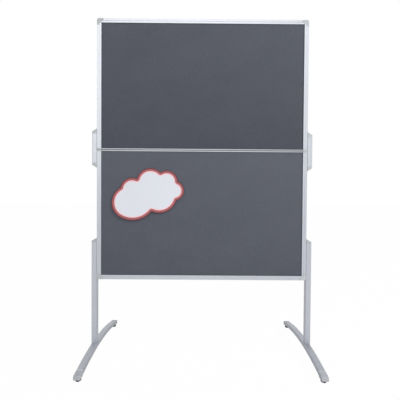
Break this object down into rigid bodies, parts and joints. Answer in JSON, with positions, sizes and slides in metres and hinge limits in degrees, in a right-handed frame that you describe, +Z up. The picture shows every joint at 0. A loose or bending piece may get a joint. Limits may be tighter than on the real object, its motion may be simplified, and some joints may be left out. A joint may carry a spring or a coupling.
{
  "type": "folding moderation board",
  "caption": "Free-standing moderation board: two felted aluminium-framed panels hinged together, side legs on arched feet, lock sleeves and a pinned cloud card.",
  "frame": {"origin": "on the floor at the middle of the box around the object", "axes": "+Z up; the pinning side with the card faces -Y; +X to the right seen from the front"},
  "size_m": [1.2706, 0.6, 1.9395],
  "materials": {
    "anodised_aluminium": "satin",
    "steel": "satin",
    "grey_plastic": "matte",
    "felt": "matte",
    "softboard": "matte",
    "card": "matte",
    "pin_plastic": "gloss",
    "glide_rubber": "matte"
  },
  "bodies": {
    "stand": {"card_pin_left": "pin_plastic", "card_pin_right": "pin_plastic", "cloud_card": "card", "foot_bolt_left": "steel", "foot_bolt_right": "steel", "foot_cap_front_left": "grey_plastic", "foot_cap_front_right": "grey_plastic", "foot_cap_rear_left": "grey_plastic", "foot_cap_rear_right": "grey_plastic", "foot_left": "anodised_aluminium", "foot_right": "anodised_aluminium", "glide_front_left": "glide_rubber", "glide_front_right": "glide_rubber", "glide_rear_left": "glide_rubber", "glide_rear_right": "glide_rubber", "hinge_leaf_lower_left": "steel", "hinge_leaf_lower_right": "steel", "hinge_pin_left": "steel", "hinge_pin_right": "steel", "leg_cap_left": "grey_plastic", "leg_cap_right": "grey_plastic", "leg_left": "anodised_aluminium", "leg_right": "anodised_aluminium", "leg_screw_high_left": "steel", "leg_screw_high_right": "steel", "leg_screw_low_left": "steel", "leg_screw_low_right": "steel", "lower_core": "softboard", "lower_corner_left": "grey_plastic", "lower_corner_right": "grey_plastic", "lower_felt_back": "felt", "lower_felt_front": "felt", "lower_hinge_end_left": "grey_plastic", "lower_hinge_end_right": "grey_plastic", "lower_hinge_rail": "anodised_aluminium", "lower_rail_bottom": "anodised_aluminium", "lower_rail_left": "anodised_aluminium", "lower_rail_right": "anodised_aluminium", "slot_bar_left": "steel", "slot_bar_right": "steel"},
    "upper_panel": {"hinge_leaf_upper_left": "steel", "hinge_leaf_upper_right": "steel", "upper_core": "softboard", "upper_corner_left": "grey_plastic", "upper_corner_right": "grey_plastic", "upper_felt_back": "felt", "upper_felt_front": "felt", "upper_hinge_end_left": "grey_plastic", "upper_hinge_end_right": "grey_plastic", "upper_hinge_rail": "anodised_aluminium", "upper_rail_left": "anodised_aluminium", "upper_rail_right": "anodised_aluminium", "upper_rail_top": "anodised_aluminium"},
    "lock_left": {"lock_sleeve_left": "anodised_aluminium", "lock_cap_top_left": "grey_plastic", "lock_cap_bottom_left": "grey_plastic"},
    "lock_right": {"lock_sleeve_right": "anodised_aluminium", "lock_cap_top_right": "grey_plastic", "lock_cap_bottom_right": "grey_plastic"}
  },
  "joints": [
    {"name": "fold", "type": "hinge", "parent": "stand", "child": "upper_panel", "pos_m": [0, -0.0417, 1.1925], "axis": [-1, 0, 0], "range_deg": [0, 180]},
    {"name": "lock_slide_left", "type": "slide", "parent": "stand", "child": "lock_left", "axis": [0, 0, -1], "range_m": [0, 0.125]},
    {"name": "lock_slide_right", "type": "slide", "parent": "stand", "child": "lock_right", "axis": [0, 0, -1], "range_m": [0, 0.125]}
  ]
}
